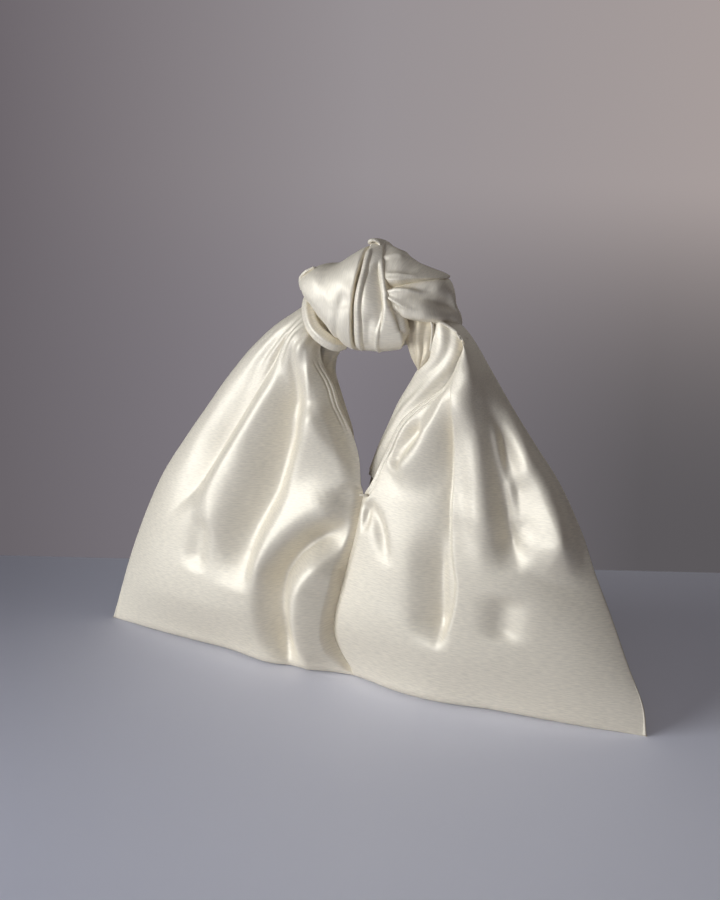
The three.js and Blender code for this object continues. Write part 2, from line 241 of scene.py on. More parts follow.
def fold_profile(kind, d, left, right):
    """Height across a fold, for distance d to its line. A ridge is a bell with its own width on each side.
    A tent has straight flanks, a rounded crest and soft feet, as satin that hangs from a gather has, and a
    crease is a tent with a sharp crest.
    A pleat is a sharp crest. A lip stands at full height on the right and drops at the line, with the drop
    fading away to the left; a lip_right is its mirror image."""
    if kind == "ridge":
        return np.exp(-((d / np.where(d < 0, left, right)) ** 2))
    if kind in ("tent", "crease"):
        width = np.where(d < 0, left, right)
        rounding = CREST_ROUNDING if kind == "tent" else SHARP_ROUNDING
        across = 1.0 + rounding - np.sqrt((d / width) ** 2 + rounding**2)
        return FOOT_ROUNDING * np.log1p(np.exp(across / FOOT_ROUNDING))
    if kind == "pleat":
        width = np.where(d < 0, left, right)
        return np.exp(1.0 - np.sqrt(1.0 + (2.2 * d / width) ** 2))
    if kind == "lip_right":
        d, left, right = -d, right, left
    away = np.maximum(-d, 0)
    drop = -(1 - np.exp(-((away / right) ** 2))) * np.exp(-away / left)
    return drop


def carved(x, z, folds):
    """Height in mm of all fold lines together at each place. A fold is worked out only within four of its
    widths."""
    flat_x, flat_z = x.ravel(), z.ravel()
    total = np.zeros(flat_x.shape)
    for f in folds:
        reach = 4 * max(f["left"], f["right"])
        low, high = f["points"].min(0) - reach, f["points"].max(0) + reach
        near = np.flatnonzero((flat_x > low[0]) & (flat_x < high[0]) & (flat_z > low[1]) & (flat_z < high[1]))
        if not len(near):
            continue
        d, along = to_line(flat_x[near], flat_z[near], f["points"])
        top, bottom = f["ends"]
        strength = np.ones(along.shape)
        if top:
            strength = strength * ease(0, top, along)
        if bottom:
            strength = strength * ease(0, bottom, 1 - along)
        total[near] += f["height"] * strength * fold_profile(f["kind"], d, f["left"], f["right"])
    return total.reshape(x.shape)


def soft_noise(x, z, length, seed):
    """Smooth unevenness between -1 and 1: eight sine waves of about this length in seeded directions."""
    random = np.random.default_rng(seed)
    total = np.zeros(np.shape(x))
    for _ in range(8):
        turn, phase = random.uniform(0, 2 * math.pi, 2)
        pace = 2 * math.pi / (length * random.uniform(0.7, 1.5))
        total += np.sin(pace * (x * math.cos(turn) + z * math.sin(turn)) + phase)
    return total / 4


def normals_of(grid, closed_rows=False, closed_columns=False):
    """Unit normals of a grid of points: the cross product of its two directions at each point."""

    def slope(axis, closed):
        if closed:
            return np.roll(grid, -1, axis) - np.roll(grid, 1, axis)
        return np.gradient(grid, axis=axis)

    normal = np.cross(slope(0, closed_rows), slope(1, closed_columns))
    return normal / np.maximum(np.linalg.norm(normal, axis=-1, keepdims=True), 1e-9)


def spread(count, crowding):
    """Shares from 0 to 1 that stand closer together near both ends."""
    s = np.linspace(0, 1, count)
    return (1 - crowding) * s + crowding * (0.5 - 0.5 * np.cos(math.pi * s))


# Meshes and materials


def grid_faces(rows, columns, closed_rows, closed_columns, flip):
    """Four-cornered faces of a grid, as an array of point numbers."""
    i = np.arange(rows if closed_rows else rows - 1)
    j = np.arange(columns if closed_columns else columns - 1)
    i, j = np.meshgrid(i, j, indexing="ij")
    a = i * columns + j
    b = ((i + 1) % rows) * columns + j
    c = ((i + 1) % rows) * columns + (j + 1) % columns
    d = i * columns + (j + 1) % columns
    faces = np.stack([a, b, c, d], -1).reshape(-1, 4)
    return faces[:, ::-1] if flip else faces


def cloth_piece(name, grid, material, flip=False, closed_rows=False, closed_columns=False, ends=()):
    """A named piece from a grid of drawn points. Its UV map holds the cloth's own lengths in metres along
    the grid's two directions. ends lists the rows, first or last, that are closed by a point."""
    rows, columns = grid.shape[:2]
    points = in_metres(grid).reshape(-1, 3)
    faces = grid_faces(rows, columns, closed_rows, closed_columns, flip).tolist()
    placed = points.reshape(rows, columns, 3)
    for end in ends:
        row = 0 if end == "first" else rows - 1
        points = np.vstack([points, placed[row].mean(0)])
        j = np.arange(columns if closed_columns else columns - 1)
        a, b = row * columns + j, row * columns + (j + 1) % columns
        turn = (end == "first") == flip
        fan = np.stack([b, a, np.full(len(j), len(points) - 1)], -1)
        faces += (fan if turn else fan[:, ::-1]).tolist()
    mesh = bpy.data.meshes.new(name)
    mesh.from_pydata(points.tolist(), [], faces)
    mesh.validate()
    along = np.linalg.norm(np.diff(placed, axis=0), axis=-1).mean(1)
    across = np.linalg.norm(np.diff(placed, axis=1), axis=-1).mean(0)
    v = np.concatenate([[0], np.cumsum(along)])
    u = np.concatenate([[0], np.cumsum(across)])
    lengths = np.stack(np.meshgrid(u, v), -1).reshape(-1, 2)
    lengths = np.vstack([lengths, np.zeros((len(points) - len(lengths), 2))])
    corner = np.zeros(len(mesh.loops), np.int32)
    mesh.loops.foreach_get("vertex_index", corner)
    layer = mesh.uv_layers.new(name="cloth")
    layer.data.foreach_set("uv", lengths[corner].astype(np.float32).ravel())
    mesh.polygons.foreach_set("use_smooth", np.ones(len(mesh.polygons), bool))
    mesh.materials.append(material)
    piece = bpy.data.objects.new(name, mesh)
    bpy.context.scene.collection.objects.link(piece)
    return piece


def thicken(piece, thickness):
    """Gives a sheet its thickness, inward from its outer face, with its rim closed."""
    wall = piece.modifiers.new("thickness", "SOLIDIFY")
    wall.thickness = thickness
    wall.offset = -1
    wall.use_rim = True
    wall.use_even_offset = False
    return piece


def tube_grid(path, radius_across, radius_up, count=8):
    """A tube along a path: at each point an oval in the plane across the path, whose first half axis lies
    in the bag's front-to-back direction as far as the path allows."""
    path = np.asarray(path, float)
    run = np.gradient(path, axis=0)
    run /= np.linalg.norm(run, axis=1, keepdims=True)
    ahead = np.array([0.0, -1.0, 0.0]) - run * (run @ np.array([0.0, -1.0, 0.0]))[:, None]
    ahead /= np.maximum(np.linalg.norm(ahead, axis=1, keepdims=True), 1e-9)
    aside = np.cross(run, ahead)
    turn = np.linspace(0, 2 * math.pi, count, endpoint=False)
    across = np.broadcast_to(np.asarray(radius_across, float), (len(path),))[:, None, None]
    up = np.broadcast_to(np.asarray(radius_up, float), (len(path),))[:, None, None]
    level = np.cos(turn)[None, :, None] * across * ahead[:, None]
    ring = level + np.sin(turn)[None, :, None] * up * aside[:, None]
    return path[:, None] + ring


def add_node(material, kind, links=(), **settings):
    """Adds a node of a kind, sets its named sockets or properties, and links (socket, other node, output)."""
    node = material.node_tree.nodes.new(kind)
    for key, value in settings.items():
        if hasattr(node, key):
            setattr(node, key, value)
        else:
            node.inputs[key.replace("_", " ")].default_value = value
    for socket, other, output in links:
        material.node_tree.links.new(other.outputs[output], node.inputs[socket])
    return node


def new_material(name):
    """An empty material with an output node, and that node."""
    material = bpy.data.materials.new(name)
    material.use_nodes = True
    material.node_tree.nodes.clear()
    return material, add_node(material, "ShaderNodeOutputMaterial")


def woven_cloth(name, colour, darker, roughness, metallic, slub_mm, thread_mm, bump, contrast):
    """Woven filament cloth. Its colour drifts a little over 60 mm, as satin does where it was steamed and
    handled. Its weave shows as short slubs along the weft, drawn coarser than the 0.1 mm threads."""
    material, output = new_material(name)
    place = add_node(material, "ShaderNodeTexCoord")
    drift = add_node(
        material,
        "ShaderNodeTexNoise",
        [("Vector", place, "Object")],
        Scale=1 / 0.06,
        Detail=2.0,
        Roughness=0.5,
    )
    tint = add_node(
        material,
        "ShaderNodeMix",
        [("Factor", drift, "Fac")],
        data_type="RGBA",
    )
    tint.inputs["A"].default_value = darker
    tint.inputs["B"].default_value = colour
    warp = add_node(
        material,
        "ShaderNodeMapping",
        [("Vector", place, "UV")],
        Scale=(1 / (slub_mm * MM), 1 / (thread_mm * MM), 1.0),
    )
    threads = add_node(material, "ShaderNodeTexNoise", [("Vector", warp, "Vector")], Scale=1.0, Detail=2.0)
    shade = add_node(material, "ShaderNodeMapRange", [("Value", threads, "Fac")])
    to_max = 1.0 + 0.4 * contrast
    for key, value in (("From Min", 0.3), ("From Max", 0.7), ("To Min", 1 - contrast), ("To Max", to_max)):
        shade.inputs[key].default_value = value
    dyed = add_node(
        material,
        "ShaderNodeVectorMath",
        [("Vector", tint, "Result"), ("Scale", shade, "Result")],
        operation="SCALE",
    )
    relief = add_node(
        material, "ShaderNodeBump", [("Height", threads, "Fac")], Strength=bump, Distance=0.0002
    )
    shader = add_node(
        material,
        "ShaderNodeBsdfPrincipled",
        [("Base Color", dyed, "Vector"), ("Normal", relief, "Normal")],
        Roughness=roughness,
        Metallic=metallic,
        IOR=1.5,
    )
    material.node_tree.links.new(shader.outputs["BSDF"], output.inputs["Surface"])
    return material


def duchess_satin():
    """Duchess satin, woven polyester or silk filament with long floats: the floats lie side by side like
    fine wires, so folds show broad soft highlights that fall off to grey-brown."""
    found = bpy.data.materials.get("ivory_duchess_satin_woven")
    if found:
        return found
    satin = list(colours().satin)
    darker = [satin[0] * 0.93, satin[1] * 0.92, satin[2] * 0.90, 1.0]
    return woven_cloth("ivory_duchess_satin_woven", satin, darker, 0.50, 0.24, 3.4, 0.8, 0.5, 0.12)


def lining_satin():
    """Light satin lining: thinner, warmer, and less lustrous than the outside."""
    found = bpy.data.materials.get("cream_lining_satin_woven")
    if found:
        return found
    lining = list(colours().lining)
    darker = [lining[0] * 0.90, lining[1] * 0.88, lining[2] * 0.84, 1.0]
    return woven_cloth("cream_lining_satin_woven", lining, darker, 0.48, 0.20, 3.4, 0.8, 0.4, 0.10)


def spun_thread():
    """Spun polyester thread, twisted: matte, with a fine oblique twist."""
    found = bpy.data.materials.get("ivory_spun_polyester_thread")
    if found:
        return found
    material, output = new_material("ivory_spun_polyester_thread")
    place = add_node(material, "ShaderNodeTexCoord")
    twist = add_node(
        material, "ShaderNodeTexWave", [("Vector", place, "Object")], Scale=900.0, Distortion=1.0
    )
    relief = add_node(material, "ShaderNodeBump", [("Height", twist, "Fac")], Strength=0.4, Distance=0.0001)
    shader = add_node(
        material,
        "ShaderNodeBsdfPrincipled",
        [("Normal", relief, "Normal")],
        Roughness=0.7,
        IOR=1.5,
    )
    shader.inputs["Base Color"].default_value = list(colours().thread)
    shader.inputs["Sheen Weight"].default_value = 0.2
    material.node_tree.links.new(shader.outputs["BSDF"], output.inputs["Surface"])
    return material


# The body: edges of the panels as rows of (share of the height, x, y, z)

LEFT_SIDE = (
    (0.00, -189, 0, 0),
    (0.10, -183, 0, 20),
    (0.20, -176, 0, 43),
    (0.30, -167, 0, 68),
    (0.40, -157, 0, 92),
    (0.50, -146, 0, 114),
    (0.60, -131, 0, 137),
    (0.70, -115, 0, 160),
    (0.80, -98, 0, 184),
    (0.90, -78, 0, 208),
    (0.96, -63, 0, 222),
    (1.00, -52, 0, 230),
    (1.06, -42, 0, 237),
    (1.12, -32, 0, 243),
)
RIGHT_SIDE = (
    (0.00, 189, 0, 0),
    (0.08, 186, 0, 18),
    (0.18, 175, 0, 42),
    (0.30, 162, 0, 72),
    (0.41, 150, 0, 98),
    (0.50, 142, 0, 118),
    (0.56, 136, 0, 130),
    (0.66, 125, 0, 149),
    (0.78, 108, 0, 171),
    (0.88, 93, 0, 191),
    (0.96, 77, 0, 214),
    (1.00, 70, 0, 224),
    (1.06, 61, 0, 234),
    (1.12, 50, 0, 240),
)
FRONT_SEAM = (
    (0.000, 0, -10, 0),
    (0.056, -8, -17, 14),
    (0.117, -12, -20, 29),
    (0.177, -11, -21, 44),
    (0.262, -7, -20, 65),
    (0.400, 0, -17, 99),
    (0.500, 4, -15, 124),
)
BACK_SEAM = (
    (0.000, 0, 10, 0),
    (0.056, -2, 17, 14),
    (0.117, -3, 20, 29),
    (0.177, -2, 21, 44),
    (0.262, -1, 20, 63),
    (0.400, -2, 16, 93),
    (0.500, -5, 12, 112),
)
FRONT_LEFT_VEE = (
    (0.53, 3, -14, 133),
    (0.62, -0.5, -12, 152),
    (0.68, -6, -12, 166),
    (0.74, -13, -12, 179),
    (0.82, -18, -12, 192),
    (0.89, -26, -12, 204),
    (0.94, -28, -12, 212),
    (1.00, -27, -10, 218),
    (1.06, -24, -6, 226),
    (1.12, -18, -2, 234),
)
FRONT_RIGHT_VEE = (
    (0.53, 8, -15, 131),
    (0.60, 14, -13, 146),
    (0.66, 19, -13, 158),
    (0.73, 27, -13, 175),
    (0.78, 35, -13, 184),
    (0.84, 47, -14, 195),
    (0.89, 57, -14, 203),
    (0.95, 64, -13, 215),
    (1.00, 66, -10, 227),
    (1.06, 58, -6, 234),
    (1.12, 48, -4, 238),
)
BACK_LEFT_VEE = (
    (0.53, -8, 11, 119),
    (0.565, -11, 10, 132),
    (0.60, -13, 8, 147),
    (0.64, -14, 7, 160),
    (0.70, -17, 6, 171),
    (0.77, -21, 5, 183),
    (0.85, -25, 4, 199),
    (0.92, -21, 2, 208),
    (1.00, -16, 0, 214),
    (1.06, -11, 0, 222),
    (1.12, -6, 0, 230),
)
BACK_RIGHT_VEE = (
    (0.53, -4, 11, 118),
    (0.56, -1, 10, 131),
    (0.61, 4.5, 8, 149),
    (0.67, 12, 7, 166),
    (0.73, 19, 5, 181),
    (0.79, 28, 1, 195),
    (0.85, 36, -4, 207),
    (0.90, 42, -8, 216),
    (0.95, 45, -10, 228),
    (1.00, 44, -9, 238),
    (1.06, 36, -6, 241),
    (1.12, 24, -4, 241),
)
SEAM_TOP = 0.5
FULLNESS = (
    (0.00, 9.0),
    (0.08, 10.0),
    (0.18, 12.5),
    (0.30, 15.0),
    (0.40, 16.0),
    (0.50, 15.0),
    (0.65, 12.5),
    (0.80, 9.5),
    (0.90, 8.0),
    (1.00, 7.0),
    (1.12, 5.0),
)
# Depth of each half's outline just above the floor, across it from the side seam: (share, mm)
LEFT_FOOT = (
    (0, 0), (0.16, 7), (0.385, 12), (0.52, 14), (0.62, 19), (0.76, 22), (0.86, 15), (0.95, 11), (1, 11),
)
RIGHT_FOOT = ((0, 0), (0.15, 8), (0.31, 13), (0.50, 17), (0.70, 23), (0.85, 20), (0.95, 14), (1, 11))
FOOT_SHARE = 0.17
BELLY_SKEW = 0.85
BELLY_SQUARENESS = 2.5
HEEL_DEPTH = 10.0
HEEL_HEIGHT = 7.0
PANEL_COLUMNS = 176
PANEL_ROWS = 268
FOOT_ROWS = 8
LINING_END = 112
TOP_SHARE = 1.12

# Folds of the front: kind, height, widths to the left and right, shares over which they rise and die away, and
# their points (x, z) from the top down, all in mm
LEFT_FOLDS = (
    fold("crease", -7.0, 15, 10, (0.0, 0.40),
         [(-41, 234), (-51, 221), (-60, 203), (-75, 177), (-87, 157), (-101, 135), (-114, 112),
          (-128, 96), (-140, 80)]),
    fold("tent", 4.0, 12, 24, (0.0, 0.30),
         [(-46, 228), (-52, 214), (-60, 192), (-67, 173), (-78, 152), (-89, 129), (-96, 110),
          (-92, 88), (-84, 68), (-76, 50)]),
    fold("tent", -11.0, 22, 9, (0.30, 0.16),
         [(-40, 222), (-42, 197), (-42, 163), (-48, 143), (-54, 120), (-64, 96), (-70, 75), (-71, 50)]),
    fold("tent", 6.0, 9, 30, (0.0, 0.45),
         [(-34, 226), (-34, 212), (-31, 182), (-34, 160), (-38, 140), (-44, 120)]),
    fold("pleat", 1.6, 3, 4, (0.0, 0.8), [(-34, 224), (-34, 212), (-31, 190), (-31, 170)]),
    fold("tent", 4.5, 16, 12, (0.2, 0.15), [(-32, 182), (-26, 168), (-13, 150), (-3, 139), (3, 128)]),
    fold("tent", 6.0, 20, 12, (0.2, 0.25),
         [(0, 121), (-14, 114), (-28, 102), (-44, 87), (-58, 68), (-66, 50)]),
    fold("tent", -10.0, 14, 9, (0.25, 0.0),
         [(4, 112), (-7, 104), (-19, 95), (-33, 81), (-42, 67), (-46, 51), (-46, 30), (-43, 6)]),
    fold("tent", 7.0, 7, 26, (0.25, 0.0), [(-12, 97), (-25, 80), (-34, 65), (-34, 45), (-33, 27), (-33, 6)]),
    fold("ridge", -3.0, 9, 8, (0.3, 0.3), [(-100, 98), (-106, 78), (-110, 56)]),
)
RIGHT_FOLDS = (
    fold("ridge", -6.0, 6, 5, (0.3, 0.2), [(43, 181), (37, 166), (30, 156), (23, 146)]),
    fold("tent", 6.0, 7, 18, (0.0, 0.2),
         [(64, 214), (60, 199), (56, 187), (49, 174), (40, 162), (30, 151), (22, 143)]),
    fold("lip", 6.0, 14, 0.9, (0.0, 0.12),
         [(66, 228), (66, 193), (67, 161), (68, 129), (70, 105), (74, 84), (73, 68), (68, 51), (63, 38)]),
    fold("tent", -6.0, 16, 6, (0.4, 0.25), [(60, 122), (62, 90), (63, 70), (63, 52), (63, 38)]),
    fold("tent", 8.0, 12, 19, (0.0, 0.3), [(71, 226), (76, 194), (83, 167), (89, 138), (95, 113), (102, 90)]),
    fold("tent", -11.0, 15, 8, (0.15, 0.2),
         [(79, 222), (89, 196), (96, 164), (100, 133), (106, 110), (112, 94)]),
    fold("ridge", 3.0, 3, 4, (0.3, 0.3), [(86, 190), (93, 166), (99, 149), (103, 130)]),
    fold("ridge", -3.0, 4, 5, (0.3, 0.3), [(103, 156), (107, 142), (111, 125), (114, 113)]),
    fold("tent", 9.5, 12, 24, (0.1, 0.18),
         [(84, 214), (90, 207), (101, 189), (113, 170), (123, 153), (129, 130), (130, 110), (125, 92)]),
    fold("ridge", -3.5, 10, 10, (0.3, 0.3), [(104, 84), (104, 70), (102, 50)]),
    fold("ridge", -3.0, 5, 4, (0.1, 0.5), [(8, 122), (18, 114), (24, 100), (30, 85)]),
    fold("ridge", -2.5, 3, 3, (0.1, 0.5), [(5, 122), (9, 112), (8, 102)]),
)


def mirrored(folds, lean, shift, share):
    """The same fold lines for the other side of the bag, leaned, shifted and made lower, so that they
    aren't an exact copy."""
    out = []
    for f in folds:
        points = f["points"] * (-1, 1)
        points = points + np.stack([lean * points[:, 1] / 100, np.full(len(points), shift)], -1)
        swap = {"lip": "lip_right"}.get(f["kind"], f["kind"])
        height = f["height"] * share
        out.append(dict(f, points=points, kind=swap, height=height, left=f["right"], right=f["left"]))
    return tuple(out)


PANELS = {
    "front_left": (LEFT_SIDE, FRONT_SEAM + FRONT_LEFT_VEE, -1, LEFT_FOLDS),
    "front_right": (RIGHT_SIDE, FRONT_SEAM + FRONT_RIGHT_VEE, -1, RIGHT_FOLDS),
    "back_left": (LEFT_SIDE, BACK_SEAM + BACK_LEFT_VEE, 1, mirrored(RIGHT_FOLDS, 2.0, -2, 0.9)),
    "back_right": (RIGHT_SIDE, BACK_SEAM + BACK_RIGHT_VEE, 1, mirrored(LEFT_FOLDS, -2.0, -3, 0.9)),
}


def cross_section(panel, t, u, side, inner):
    """A panel's outer face before its folds. Across it a point runs straight from the side seam to the inner
    edge in x and z. Its depth is the inner edge's depth times 1 - (1 - u)^2, plus the fullness times
    1 - |1 - 2s|^p, where s is u skewed towards the side. Near the floor it passes over to the outline of the
    foot."""
    face = PANELS[panel][2]
    share = u[None, :]
    grid = side * (1 - share[..., None]) + inner * share[..., None]
    full = table_rows(FULLNESS, t)[:, None, 0]
    swollen = full * (1 - np.abs(1 - 2 * share**BELLY_SKEW) ** BELLY_SQUARENESS)
    depth = face * inner[..., 1] * (1 - (1 - share) ** 2) + swollen
    foot = table_rows(LEFT_FOOT if "left" in panel else RIGHT_FOOT, u)[None, :, 0]
    raised = ease(0, FOOT_SHARE, t)[:, None] ** 0.7
    grid[..., 1] = face * (foot * (1 - raised) + depth * raised)
    return grid


def hem_lines(from_edge):
    """Rise along an edge that is turned in and stitched twice: a rounded rim, and two shallow troughs where
    the lines of stitches draw the cloth down."""
    rim = -1.0 * np.exp(-((from_edge / 0.9) ** 2))
    first = -0.9 * np.exp(-(((from_edge - 2.0) / 0.5) ** 2))
    second = -0.8 * np.exp(-(((from_edge - 4.0) / 0.5) ** 2))
    return rim + first + second


def panel_grid(panel, columns, rows):
    """A panel's outer face: its cross sections, with the folds standing along the face's normal.
    Below the heel the rows turn under to the bottom seam."""
    side_table, inner_table, face, folds = PANELS[panel]
    t = spread(rows, 0.25) * TOP_SHARE
    u = spread(columns, 0.5)
    side = table_rows(side_table, t)[:, None]
    inner = table_rows(inner_table, t)[:, None]
    grid = cross_section(panel, t, u, side, inner)
    share = u[None, :]
    width = np.linalg.norm(inner - side, axis=-1)
    from_side = share * width
    from_inner = (1 - share) * width
    normal = normals_of(grid)
    normal *= np.sign(normal[..., 1:2] * face)
    hold_side = ease(0, 14, from_side) if face < 0 else ease(0, 30, from_side)
    seam = (1 - ease(SEAM_TOP, SEAM_TOP + 0.03, t))[:, None]
    hold_inner = seam * ease(0, 7, from_inner) + (1 - seam) * (0.45 + 0.55 * ease(0, 12, from_inner))
    top_fade = (0.72, 0.95)
    if face < 0:
        top_fade = (0.93, 1.05) if "left" in panel else (0.84, 1.02)
    hold_top = 1 - 0.92 * ease(*top_fade, t)[:, None]
    hold_bottom = 0.35 + 0.65 * ease(0, 0.09, t)[:, None]
    hold = hold_side * hold_inner * hold_top * hold_bottom
    lift = carved(grid[..., 0], grid[..., 2], folds) * sizes().fold_strength
    lift += 0.5 * soft_noise(grid[..., 0], grid[..., 2], 75, 3) * ease(0, 0.2, t)[:, None]
    gathers = ease(0.72, 1.0, t)[:, None]
    count, rise = (6.5, 0.9) if "left" in panel else (3.5, 0.4)
    lift += rise * gathers * np.cos(2 * math.pi * count * share + 1.2 * np.sin(7 * t)[:, None])
    grid = grid + normal * (relaxed(lift, 2) * hold)[..., None]
    hem_start = 0.66 if "left" in panel else SEAM_TOP
    stitched = ease(hem_start, hem_start + 0.04, t) * (1 - ease(0.85, 0.92, t))
    grid += normal * (hem_lines(from_inner) * stitched[:, None])[..., None]
    pull = 3.2 * seam * np.exp(-((from_inner / 2.6) ** 2)) * ease(0.0, 0.03, t)[:, None]
    grid[..., 1] -= face * pull
    low = np.clip(grid[..., 2] / HEEL_HEIGHT, 0, 1)
    tuck = np.minimum(HEEL_DEPTH, 0.6 * np.abs(grid[..., 1])) * (1 - np.sqrt(1 - (1 - low) ** 2))
    grid[..., 1] -= face * tuck
    under = np.repeat(grid[:1], FOOT_ROWS, axis=0)
    inward = np.linspace(0, 1, FOOT_ROWS, endpoint=False)[:, None]
    under[..., 1] *= inward
    under[..., 2] = 0.12 * (1 - inward)
    return np.concatenate([under, grid], axis=0)


def relaxed(grid, times):
    """A grid whose inner points are averaged with their neighbours this many times."""
    out = grid.copy()
    for _ in range(times):
        inner = (out[:-2, 1:-1] + out[2:, 1:-1] + out[1:-1, :-2] + out[1:-1, 2:]) / 4
        out[1:-1, 1:-1] = 0.5 * out[1:-1, 1:-1] + 0.5 * inner
    return out


def bends_with_knot(piece):
    """Bakes the piece's placement into its points."""
    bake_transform(piece)


class KNOTBAG_OT_panels(bpy.types.Operator):
    """Four outer satin panels with their folds"""

    bl_idname = "knotbag.panels"
    bl_label = "Satin panels"

    def execute(self, context):
        for panel, (_, _, face, _) in PANELS.items():
            grid = panel_grid(panel, PANEL_COLUMNS, PANEL_ROWS)
            left = "left" in panel
            flip = left == (face < 0)
            piece = cloth_piece("satin_" + panel, grid, duchess_satin(), flip=flip)
            thicken(piece, sizes().satin_thickness)
            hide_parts("outer_" + ("front" if face < 0 else "back") + ("_left" if left else "_right"))
            if face < 0:
                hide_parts("left_neck" if left else "right_neck")
            bends_with_knot(piece)
        return {"FINISHED"}


class KNOTBAG_OT_lining(bpy.types.Operator):
    """Four lining panels inside the satin"""

    bl_idname = "knotbag.lining"
    bl_label = "Lining"

    def execute(self, context):
        for panel, (_, _, face, _) in PANELS.items():
            grid = panel_grid(panel, PANEL_COLUMNS // 2, PANEL_ROWS // 2)[FOOT_ROWS + 2 : LINING_END]
            grid = relaxed(grid, 2)
            normal = normals_of(grid)
            normal *= np.sign(normal[..., 1:2] * face)
            grid = (grid - normal * 2.4)[:, 11:]
            left = "left" in panel
            flip = left == (face < 0)
            piece = cloth_piece("lining_satin_" + panel, grid, lining_satin(), flip=flip)
            thicken(piece, sizes().lining_thickness)
            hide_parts("lining_" + panel)
            bends_with_knot(piece)
        return {"FINISHED"}


# Inside the V: at each height the left edge and the right edge of the facing, x, y, z each
RIGHT_FACING = (
    (0.00, 0, 9, 136, 13, -10, 133),
    (0.10, 5, 8, 150, 18, -8, 147),
    (0.25, 12, 7, 166, 26, -8, 164),
    (0.38, 19, 4, 181, 35, -8, 178),
    (0.50, 28, -1, 195, 47, -8, 189),
    (0.62, 36, -6.5, 207, 56, -9, 199),
    (0.74, 43, -9, 216, 62, -9, 210),
    (0.87, 45, -10, 228, 65, -8, 219),
    (1.00, 42, -8, 241, 66, -5, 229),
)
LEFT_FACING = (
    (-0.40, -1, -9, 127, -6, 8, 118),
    (-0.20, -6, -7, 146, -11, 8, 140),
    (0.00, -8, -7, 160, -13, 7, 158),
    (0.20, -12, -7, 172, -17, 6, 171),
    (0.42, -18, -7, 182, -21, 5, 183),
    (0.62, -27, -7, 195, -24.5, 4, 197),
    (0.75, -33, -7, 206, -22, 2, 207),
    (0.88, -35, -6, 216, -16, 0, 216),
    (1.00, -33, -4, 226, -13, 0, 226),
)
LINING_FOLD = (
    (0.00, 36, -5, 206, 36.5, -5.5, 207),
    (0.25, 33, -9, 214, 43, -10, 215),
    (0.55, 30, -11, 223, 46, -9, 226),
    (0.80, 26, -13, 234, 46, -10, 235),
    (1.00, 22, -10, 243, 43, -8, 242),
)
LINING_RIM = (
    (36, -5, 207),
    (43, -9, 216),
    (45.5, -11, 228),
    (45.5, -12, 237),
    (41, -12, 241.5),
    (31, -14, 241),
    (21, -16, 240),
)


def facing_grid(table, columns, rows, bulge, creases):
    """A strip between two edges given up its height, bulging between them by 4u(1 - u), with fine creases
    that run along it: crease times the sine of its count across the strip, wandering a little."""
    t = np.linspace(table[0][0], table[-1][0], rows)
    u = np.linspace(0, 1, columns)[None, :]
    edges = table_rows(table, t)
    grid = edges[:, None, :3] * (1 - u[..., None]) + edges[:, None, 3:] * u[..., None]
    normal = normals_of(grid)
    normal *= -np.sign(normal[..., 1:2])
    rise, count = creases
    wander = 1.5 * np.sin(5 * t)[:, None] + 0.8 * np.sin(11 * t + 1)[:, None]
    lift = bulge * 4 * u * (1 - u) + rise * np.sin(2 * math.pi * count * u + wander) * np.sin(math.pi * u)
    return grid + normal * lift[..., None]


BAR_TACKS = (
    # at the foot of the V in front and behind: x, y, z of its middle
    ("front", 7.0, -17.3, 126.5),
    ("back", -5.5, 13.5, 113.5),
)


FACING_RIM = (
    (37, -15, 241.5),
    (45, -13, 240.5),
    (53, -11, 237.5),
    (61, -10, 233),
    (66, -10, 228),
    (66.5, -12, 221),
)


class KNOTBAG_OT_facings(bpy.types.Operator):
    """Satin facings inside the V, and the fold of lining that stands out beside the right ear"""

    bl_idname = "knotbag.facings"
    bl_label = "Facings"

    def execute(self, context):
        strips = (
            ("satin_facing_right", RIGHT_FACING, duchess_satin(), "satin", 3.0, (0.6, 2.0)),
            ("satin_facing_left", LEFT_FACING, duchess_satin(), "satin", 1.0, (0.4, 1.5)),
            ("lining_fold_right", LINING_FOLD, lining_satin(), "lining", 1.0, (0.5, 2.5)),
        )
        for name, table, cloth, slot, bulge, creases in strips:
            grid = facing_grid(table, 50, 120, bulge, creases)
            piece = cloth_piece(name, grid, cloth, flip=name.endswith("left"))
            thicken(piece, sizes().satin_thickness)
            bends_with_knot(piece)
        for side, x, y, z in BAR_TACKS:
            reach = np.linspace(-1, 1, 40)[:, None]
            front = 1 if side == "back" else -1
            path = np.array([x, y, z]) + reach * (3.0, 0, 0.5) + (1 - reach**2) * (0, 0.6 * front, 0)
            path[:, 2] += 0.15 * np.sin(reach[:, 0] * 40)
            ribbed = 1 + 0.12 * np.sin(reach[:, 0] * 60)
            swell = 0.85 * np.sqrt(np.clip(1 - reach[:, 0] ** 6, 0.05, 1)) * ribbed
            tack = cloth_piece(
                "thread_bar_tack_" + side, tube_grid(path, swell, swell * 0.9, 12), spun_thread(),
                closed_columns=True, ends=("first", "last"),
            )
            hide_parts("bar_tack_" + side)
            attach(tack, "bag")
        for name, rim_line in (("satin_rim_right", LINING_RIM), ("satin_rim_facing", FACING_RIM)):
            places = np.linspace(0, 1, len(rim_line))
            path = smooth_rows(places, np.asarray(rim_line, float), np.linspace(0, 1, 90))
            rim = cloth_piece(
                name, tube_grid(path, 1.2, 0.9, 14), duchess_satin(), closed_columns=True,
                ends=("first", "last"),
            )
            bends_with_knot(rim)
        return {"FINISHED"}


# The knot: closed forms given by ovals at stations along x


